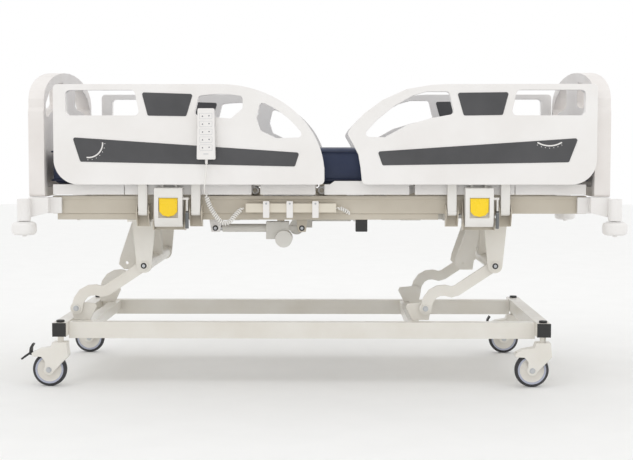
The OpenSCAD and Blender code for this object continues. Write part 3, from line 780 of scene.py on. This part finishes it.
@dataclass
class Platform:
    """Bed frame, lying surface, end boards and corner posts."""

    eye_bolts: tuple[tuple[str, float, str], ...] = (("back_motor", -0.063, "bed"), ("back_rod", -0.380, "back_rod"))
    eye_y: float = -0.352
    eye_z: float = 0.577
    box_x: Point = (0.132, 0.175)
    box_y: Point = (-0.385, -0.412)
    box_z: Point = (0.568, 0.616)

    def steelwork(self) -> None:
        """Dresses the welded frame and its brackets."""
        # bed_frame and rail_brackets get the sand finish, whose darker tone is partly painted shade
        for node, finish, width in (("bed_frame", SAND_ENAMEL_WITH_PAINTED_SHADE, 2.0), ("leg_brackets", CREAM_ENAMEL, 1.6),
                                    ("rail_brackets", SAND_ENAMEL_WITH_PAINTED_SHADE, 0.8)):
            moulded(node, finish, width * MM)

    def panels(self) -> None:
        """Dresses the four sections and their drives."""
        for section in ("back", "seat", "thigh", "calf"):
            moulded(section + "_panel", WHITE_ABS, 1.5 * MM)
        for name in ("back", "knee"):
            moulded(name + "_actuator", MOTOR_PA, 3.0 * MM)
            moulded(name + "_rod", GROUND_STEEL, 0.8 * MM)
        for tag, x, body in self.eye_bolts:
            bolt(tag + "_bolt", (x, self.eye_y, self.eye_z), (0, -1, 0), 12 * MM, 5 * MM, body, washer=True)
        (x0, x1), (z0, z1) = self.box_x, self.box_z
        box = [(x0, z0), (x1, z0), (x1, z1), (x0, z1)]
        slab("junction_box", rounded_outline(box, 3 * MM), *self.box_y, BLACK_PA, "bed", 1.2 * MM)

    def ends(self) -> None:
        """Dresses the boards, posts and wall rollers."""
        moulded("headboard", BOARD_ABS, 5.0 * MM, 4)
        moulded("footboard", BOARD_ABS, 5.0 * MM, 4)
        moulded("corner_posts", WHITE_ABS, 2.5 * MM, 4)
        for corner in CORNERS:
            moulded("corner_roller_" + corner, WHITE_ABS, 1.5 * MM)

    def build(self) -> None:
        """Builds everything of the platform."""
        self.steelwork()
        self.panels()
        self.ends()


# ---------------------------------------------------------------- side rails

def arc_through(start: Point, middle: Point, end: Point, count: int) -> tuple[list[Point], Point]:
    """Finds points on the circle through three points.

    Args:
        start: first point.
        middle: a point between.
        end: last point.
        count: how many points.

    Returns:
        The points, and the circle's centre.
    """
    (ax, ay), (bx, by), (cx, cy) = start, middle, end
    d = 2 * (ax * (by - cy) + bx * (cy - ay) + cx * (ay - by))
    sq = [ax * ax + ay * ay, bx * bx + by * by, cx * cx + cy * cy]
    ux = (sq[0] * (by - cy) + sq[1] * (cy - ay) + sq[2] * (ay - by)) / d
    uy = (sq[0] * (cx - bx) + sq[1] * (ax - cx) + sq[2] * (bx - ax)) / d
    radius = math.hypot(ax - ux, ay - uy)
    first = math.atan2(ay - uy, ax - ux)
    sweep = (math.atan2(cy - uy, cx - ux) - first + math.pi) % (2 * math.pi) - math.pi
    angles = [first + sweep * k / (count - 1) for k in range(count)]
    return [(ux + radius * math.cos(a), uy + radius * math.sin(a)) for a in angles], (ux, uy)


@dataclass
class SideRail:
    """One fold-down rail with its inlays, tilt gauge, arms, lever and release handle."""

    corner: str
    inner_y: float = 0.467
    outer_y: float = 0.505
    edge: float = 0.007
    inlay: float = 0.0016

    @property
    def at_head(self) -> bool:
        """Whether this is a head-end rail."""
        return self.corner[0] == "h"

    @property
    def body(self) -> str:
        """The CAD body of the rail panel."""
        return "rail_" + self.corner

    def panel(self) -> None:
        """Rounds the panel's outline and windows; its lugs stay crisp."""
        limits = (self.inner_y, self.outer_y)

        def on_faces(edge: bmesh.types.BMEdge) -> bool:
            """Whether an edge lies in one of the two broad faces."""
            ys = [abs(v.co.y) for v in edge.verts]
            return any(all(abs(y - limit) < 0.05 * MM for y in ys) for limit in limits)

        moulded("rail_panel_" + self.corner, WHITE_ABS, self.edge, 4, on_faces)

    def inlays(self) -> None:
        """Sets the charcoal grip panel and stripe into the outer face."""
        side = side_of(self.corner)
        if self.at_head:
            grip = [(-624, 1066), (-443, 1060), (-467, 982), (-603, 984)]
            stripe = [(-870, 908), (-68, 854), (-84, 805), (-843, 822)]
        else:
            grip = [(487, 1064), (668, 1066), (647, 986), (510, 984)]
            stripe = [(208, 858), (913, 905), (881, 820), (225, 809)]
        for name, corners in (("grip", grip), ("stripe", stripe)):
            outline = rounded_outline([(x * MM, z * MM) for x, z in corners], 7 * MM)
            slab(f"inlay_{name}_{self.corner}", outline, side * (self.outer_y - MM),
                 side * (self.outer_y + self.inlay), CHARCOAL_PP, self.body)
        outline = rounded_outline([(x * MM, z * MM) for x, z in grip], 7 * MM)
        slab(f"inlay_inner_grip_{self.corner}", outline, side * (self.inner_y + MM),
             side * (self.inner_y - self.inlay), CHARCOAL_PP, self.body)

    def gauge(self) -> None:
        """Adds the tilt gauge: a curved white tube with dots beside it."""
        side = side_of(self.corner)
        ends = ((-763, 890), (-778, 851), (-820, 837)) if self.at_head else ((769, 890), (812, 878), (855, 890))
        points, centre = arc_through(*[(x * MM, z * MM) for x, z in ends], 21)
        y = side * (self.outer_y + self.inlay + 0.6 * MM)
        tube = line_piece("tilt_gauge_" + self.corner, [(x, y, z) for x, z in points], 2.6 * MM, WHITE_ABS)
        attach(as_mesh(tube), self.body)
        for k, (x, z) in enumerate(points[1::3]):
            out = Vector((x - centre[0], z - centre[1])).normalized() * 8 * MM
            dot = [(0.0, -0.4 * MM), (1.4 * MM, -0.4 * MM), (1.2 * MM, 0.4 * MM), (0.0, 0.4 * MM)]
            where = (x + out.x, side * (self.outer_y + self.inlay), z + out.y)
            turned(f"gauge_dot_{self.corner}_{k}", dot, where, WHITE_ABS, self.body, steps=16)

    def spring(self) -> None:
        """Sleeves the gas spring in grey paint, with a black seal."""
        x = (-0.535 if self.at_head else 0.570) + 65 * MM
        y = side_of(self.corner) * 0.475
        body = "lever_" + self.corner
        tube = [(0.0, 583 * MM), (5.2 * MM, 583 * MM), (6.3 * MM, 585 * MM), (6.3 * MM, 639 * MM),
                (5.0 * MM, 640.4 * MM), (0.0, 640.4 * MM)]
        seal = [(0.0, 639 * MM), (5.0 * MM, 640 * MM), (4.6 * MM, 646 * MM), (0.0, 646 * MM)]
        for name, profile, finish in (("tube", tube, SPRING_GREY), ("seal", seal, BLACK_PA)):
            turned(f"gas_spring_{name}_{self.corner}", profile, (x, y, 0), finish, body, (0, 0, 1), 32)

    def build(self) -> None:
        """Builds the rail and its linkage."""
        self.panel()
        self.inlays()
        self.gauge()
        self.spring()
        moulded("rail_arms_" + self.corner, LEVER_PA, 2.0 * MM)
        moulded("rail_lever_" + self.corner, LEVER_PA, 1.6 * MM)
        moulded("rail_release_" + self.corner, YELLOW_ABS, 1.4 * MM)


# ---------------------------------------------------------------- handset and cords

@dataclass
class Handset:
    """Hand control with five rows of keys."""

    centre_x: float = -0.395
    front_y: float = -0.538
    rows: int = 5
    top_key_z: float = 0.982
    row_pitch: float = 0.0275
    pad_half: Point = (0.0215, 0.0092)
    column: float = 0.0115

    def plate(self, name: str, centre: Point, half: Point, radius: float, lift: float,
              finish: Finish) -> None:
        """Lays a rounded plate on the handset's face.

        Args:
            name: the piece's name.
            centre: its middle, x and z.
            half: half its width and height.
            radius: of its corners.
            lift: how far it stands proud.
            finish: the material.
        """
        (x, z), (w, h) = centre, half
        corners = [(x - w, z - h), (x + w, z - h), (x + w, z + h), (x - w, z + h)]
        slab(name, rounded_outline(corners, radius), self.front_y + MM, self.front_y - lift, finish,
             "rail_hn", 0.2 * MM)

    def build(self) -> None:
        """Builds the shell, the framed keys and their plain up and down marks."""
        moulded("handset", WHITE_ABS, 3.2 * MM, 4)
        for row in range(self.rows):
            z = self.top_key_z - row * self.row_pitch
            frame_half = (self.pad_half[0] + 0.9 * MM, self.pad_half[1] + 0.9 * MM)
            self.plate(f"key_frame_{row}", (self.centre_x, z), frame_half, 2.4 * MM, 0.25 * MM, KEY_SILICONE)
            self.plate(f"key_{row}", (self.centre_x, z), self.pad_half, 1.8 * MM, 0.7 * MM, WHITE_ABS)
            for tag, s in (("up", -1), ("down", 1)):
                x = self.centre_x + s * self.column
                tip = -s * 2.6 * MM
                arrow = [(x - 3 * MM, z - tip), (x + 3 * MM, z - tip), (x, z + tip)]
                slab(f"key_mark_{tag}_{row}", arrow, self.front_y, self.front_y - 0.9 * MM, MARK_INK,
                     "rail_hn", 0.05 * MM)
        lamp_place = (self.centre_x, self.top_key_z - self.rows * self.row_pitch + 5 * MM)
        self.plate("handset_lamp", lamp_place, (9 * MM, 1.2 * MM), 0.8 * MM, 0.5 * MM, KEY_SILICONE)


@dataclass
class Cords:
    """The handset's curly cord, and its tail behind the side beam."""

    wire: float = 0.0056
    coil_reach: float = 0.0062
    tail_reach: float = 0.0050
    pitch: float = 0.0080
    clips: tuple[float, ...] = (-0.188, -0.104, -0.012)
    clip_half: float = 0.0115
    clip_y: Point = (-0.4615, -0.4650)
    clip_z: Point = (0.621, 0.681)
    screw_z: float = 0.672

    def build(self) -> None:
        """Lays both cords along the routes that the frame holds."""
        lead = through(LEAD_ROUTE, 12)
        line = helix(through(LEAD_ROUTE + COIL_ROUTE[1:], 12), self.coil_reach, self.pitch, length_of(lead))
        cord = line_piece("handset_curly_cord", [tuple(p) for p in line], self.wire / 2, CORD_TPU)
        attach(cord, "rail_hn")
        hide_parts("handset_cord")
        coil = helix(through(TAIL_ROUTE, 12), self.tail_reach, self.pitch)
        tail = line_piece("curly_cord_tail", [tuple(p) for p in coil], self.wire / 2, CORD_TPU)
        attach(tail, "bed")
        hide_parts("cord_tail")
        moulded("cable_tray", TRAY_PVC, 0.9 * MM)
        half, (z0, z1) = self.clip_half, self.clip_z
        for k, x in enumerate(self.clips):
            corners = [(x - half, z0), (x + half, z0), (x + half, z1), (x - half, z1)]
            slab(f"tray_clip_{k}", rounded_outline(corners, 3 * MM), *self.clip_y, WHITE_ABS, "bed", 1.0 * MM)
            bolt(f"tray_screw_{k}", (x, self.clip_y[1], self.screw_z), (0, -1, 0), 6 * MM, 1.6 * MM, "bed")


LEAD_ROUTE = [(-0.395, -0.522, 0.8135), (-0.396, -0.522, 0.795), (-0.398, -0.522, 0.770),
              (-0.401, -0.520, 0.745), (-0.404, -0.512, 0.728), (-0.405, -0.498, 0.716),
              (-0.404, -0.484, 0.709), (-0.402, -0.474, 0.705)]
COIL_ROUTE = [(-0.402, -0.474, 0.705), (-0.392, -0.472, 0.672), (-0.372, -0.470, 0.634),
              (-0.350, -0.468, 0.608), (-0.336, -0.466, 0.602), (-0.320, -0.463, 0.606),
              (-0.302, -0.457, 0.627), (-0.285, -0.449, 0.645), (-0.270, -0.443, 0.656)]
TAIL_ROUTE = [(0.063, -0.443, 0.656), (0.080, -0.443, 0.653), (0.097, -0.440, 0.645),
              (0.107, -0.433, 0.637), (0.110, -0.426, 0.632)]


# ---------------------------------------------------------------- mattress

@dataclass(frozen=True)
class Section:
    """One mattress section: its CAD node, the two bodies either side of a joint, and two places along X."""

    node: str
    bodies: tuple[str, str]
    start_x: float
    end_x: float


@dataclass
class Mattress:
    """Foam mattress in a welded cover, in three sections."""

    voxel: float = 0.012
    shrink: float = 0.003
    corner: float = 0.016
    cap: float = 0.007
    frames: int = 20
    piping_r: float = 0.0032
    hinge_z: float = 0.717
    sections: tuple[Section, ...] = (
        Section("mattress_head", ("bed", "backrest"), -0.150, -0.310),
        Section("mattress_mid", ("bed", "thigh"), -0.050, 0.080),
        Section("mattress_foot", ("thigh", "calf"), 0.260, 0.400),
    )

    def blank(self, name: str, low: Vector, high: Vector) -> bpy.types.Object:
        """Makes the rounded block that the simulation starts from.

        Args:
            name: the block's name.
            low: its lowest corner.
            high: its highest corner.

        Returns:
            The block, evenly meshed.
        """
        bm = bmesh.new()
        bmesh.ops.create_cube(bm, size=1)
        size = high - low - Vector((2 * self.shrink,) * 3)
        bmesh.ops.scale(bm, vec=size, verts=bm.verts)
        bmesh.ops.translate(bm, vec=(low + high) / 2, verts=bm.verts)
        round_edges(bm, self.corner, 5)
        made = mesh_piece(name, bm, COVER_KNIT)
        made.modifiers.clear()
        remesh = made.modifiers.new("remesh", "REMESH")
        remesh.mode = "VOXEL"
        remesh.voxel_size = self.voxel
        return as_mesh(made)

    def inflate(self, pad: bpy.types.Object) -> bpy.types.Object:
        """Blows the cover up over its foam with a cloth simulation.

        Args:
            pad: the block.

        Returns:
            The block with its cover filled out, by no more than the cap.
        """
        rest = [v.co.copy() for v in pad.data.vertices]
        cloth = pad.modifiers.new("cover", "CLOTH")
        cloth.settings.use_pressure = True
        cloth.settings.uniform_pressure_force = 4.0
        cloth.settings.effector_weights.gravity = 0.0
        scene = bpy.context.scene
        for step in range(1, self.frames + 1):
            scene.frame_set(step)
        pad = as_mesh(pad)
        scene.frame_set(1)
        for vert, home in zip(pad.data.vertices, rest):
            move = vert.co - home
            if move.length > self.cap:
                vert.co = home + move.normalized() * self.cap
        return pad

    def pad(self, section: Section) -> None:
        """Makes one section: padded block, then its piping.

        Args:
            section: which one.
        """
        low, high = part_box(section.node)
        made = self.blank(section.node + "_pad", low, high)
        made = self.inflate(made)
        for vert in made.data.vertices:
            for axis in range(3):
                vert.co[axis] = min(max(vert.co[axis], low[axis]), high[axis])
        smooth = made.modifiers.new("smooth", "SUBSURF")
        smooth.levels = smooth.render_levels = 1
        made = as_mesh(made)
        made.data.shade_smooth()
        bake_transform(made)
        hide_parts(section.node)
        self.piping(section, low, high)
        log.info("%s: %d faces", made.name, len(made.data.polygons))

    def piping(self, section: Section, low: Vector, high: Vector) -> None:
        """Runs a welded bead round the top and the bottom edge.

        Args:
            section: which one.
            low: its lowest corner.
            high: its highest corner.
        """
        inset, edge_drop = 5 * MM, 14 * MM
        corners = [(low.x + inset, low.y + inset), (high.x - inset, low.y + inset),
                   (high.x - inset, high.y - inset), (low.x + inset, high.y - inset)]
        ring = rounded_outline(corners, self.corner, 8)
        fine: list[Point] = []
        for a, b in zip(ring, ring[1:] + ring[:1]):
            parts = max(1, round(math.dist(a, b) / (15 * MM)))
            fine += [(a[0] + (b[0] - a[0]) * k / parts, a[1] + (b[1] - a[1]) * k / parts) for k in range(parts)]
        for tag, z in (("top", high.z - edge_drop), ("bottom", low.z + edge_drop)):
            bead = line_piece(f"{section.node}_piping_{tag}", [(x, y, z) for x, y in fine],
                              self.piping_r, PIPING, closed=True)
            bead = as_mesh(bead)
            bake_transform(bead)

    def build(self) -> None:
        """Builds the three sections."""
        for section in self.sections:
            self.pad(section)


# ---------------------------------------------------------------- everything

def main() -> None:
    """Builds the bed, the camera and cords first."""
    logging.basicConfig(level=logging.INFO, format="%(name)s: %(message)s")
    studio = Studio()
    studio.camera()
    Cords().build()
    for part in (Base(), Lift(), Platform(), Handset(), Mattress()):
        log.info("building %s", type(part).__name__)
        part.build()
    for corner in CORNERS:
        SideRail(corner).build()
    studio.floor()
    studio.light()


if __name__ == "__main__":
    main()
